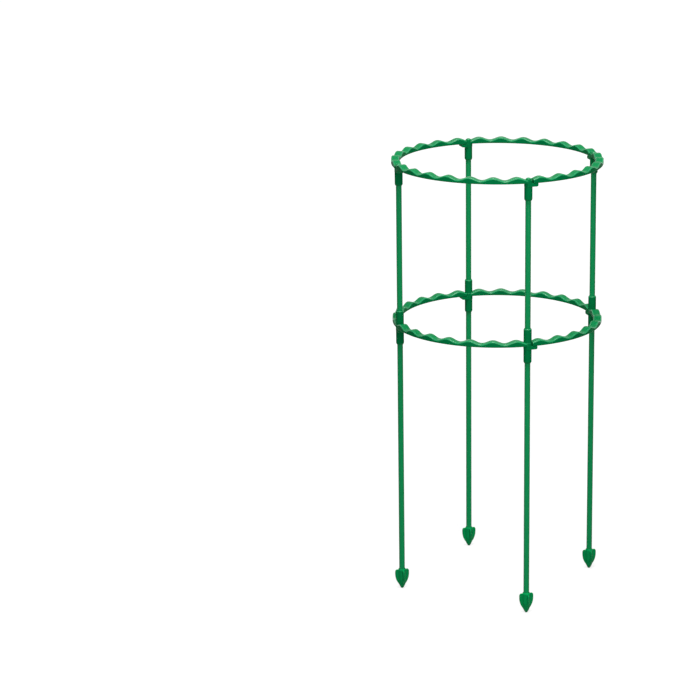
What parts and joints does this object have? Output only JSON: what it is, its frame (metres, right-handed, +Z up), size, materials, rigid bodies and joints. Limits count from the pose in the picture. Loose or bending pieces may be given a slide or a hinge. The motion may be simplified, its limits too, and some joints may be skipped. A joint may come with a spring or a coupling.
{
  "type": "plant support column",
  "caption": "Round plant support cage of upright coated stakes with ground spikes, joined by wavy rings whose arcs swing open on the stakes.",
  "frame": {"origin": "centre line of the cage, level with the tips of the ground spikes", "axes": "+Z up along the cage's centre line; the stakes stand on -Y (front), +X (right), +Y (back) and -X (left)"},
  "size_m": [0.3002, 0.3002, 0.6147],
  "materials": {
    "arc_plastic": "satin green moulded plastic",
    "spike_plastic": "satin green moulded plastic",
    "coat_plastic": "semi-gloss green plastic coat",
    "galvanised_steel": "thin steel tube inside the coat"
  },
  "bodies": {
    "root": {"front_spike": "spike_plastic", "front_lower_coat": "coat_plastic", "front_lower_tube": "galvanised_steel", "front_upper_coat": "coat_plastic", "front_upper_tube": "galvanised_steel", "right_spike": "spike_plastic", "right_lower_coat": "coat_plastic", "right_lower_tube": "galvanised_steel", "right_upper_coat": "coat_plastic", "right_upper_tube": "galvanised_steel", "back_spike": "spike_plastic", "back_lower_coat": "coat_plastic", "back_lower_tube": "galvanised_steel", "back_upper_coat": "coat_plastic", "back_upper_tube": "galvanised_steel", "left_spike": "spike_plastic", "left_lower_coat": "coat_plastic", "left_lower_tube": "galvanised_steel", "left_upper_coat": "coat_plastic", "left_upper_tube": "galvanised_steel"},
    "front_middle": {"front_middle_arc": "arc_plastic"},
    "right_middle": {"right_middle_arc": "arc_plastic"},
    "back_middle": {"back_middle_arc": "arc_plastic"},
    "left_middle": {"left_middle_arc": "arc_plastic"},
    "front_top": {"front_top_arc": "arc_plastic"},
    "right_top": {"right_top_arc": "arc_plastic"},
    "back_top": {"back_top_arc": "arc_plastic"},
    "left_top": {"left_top_arc": "arc_plastic"}
  },
  "joints": [
    {"name": "front_middle_swing", "type": "hinge", "parent": "root", "child": "front_middle", "pos_m": [0, -0.14, 0.3831], "axis": [0, 0, 1], "range_deg": [0, 90]},
    {"name": "right_middle_swing", "type": "hinge", "parent": "root", "child": "right_middle", "pos_m": [0.14, 0, 0.3831], "axis": [0, 0, 1], "range_deg": [0, 90]},
    {"name": "back_middle_swing", "type": "hinge", "parent": "root", "child": "back_middle", "pos_m": [0, 0.14, 0.3831], "axis": [0, 0, 1], "range_deg": [0, 90]},
    {"name": "left_middle_swing", "type": "hinge", "parent": "root", "child": "left_middle", "pos_m": [-0.14, 0, 0.3831], "axis": [0, 0, 1], "range_deg": [0, 90]},
    {"name": "front_top_swing", "type": "hinge", "parent": "root", "child": "front_top", "pos_m": [0, -0.14, 0.6064], "axis": [0, 0, 1], "range_deg": [0, 90]},
    {"name": "right_top_swing", "type": "hinge", "parent": "root", "child": "right_top", "pos_m": [0.14, 0, 0.6064], "axis": [0, 0, 1], "range_deg": [0, 90]},
    {"name": "back_top_swing", "type": "hinge", "parent": "root", "child": "back_top", "pos_m": [0, 0.14, 0.6064], "axis": [0, 0, 1], "range_deg": [0, 90]},
    {"name": "left_top_swing", "type": "hinge", "parent": "root", "child": "left_top", "pos_m": [-0.14, 0, 0.6064], "axis": [0, 0, 1], "range_deg": [0, 90]}
  ]
}
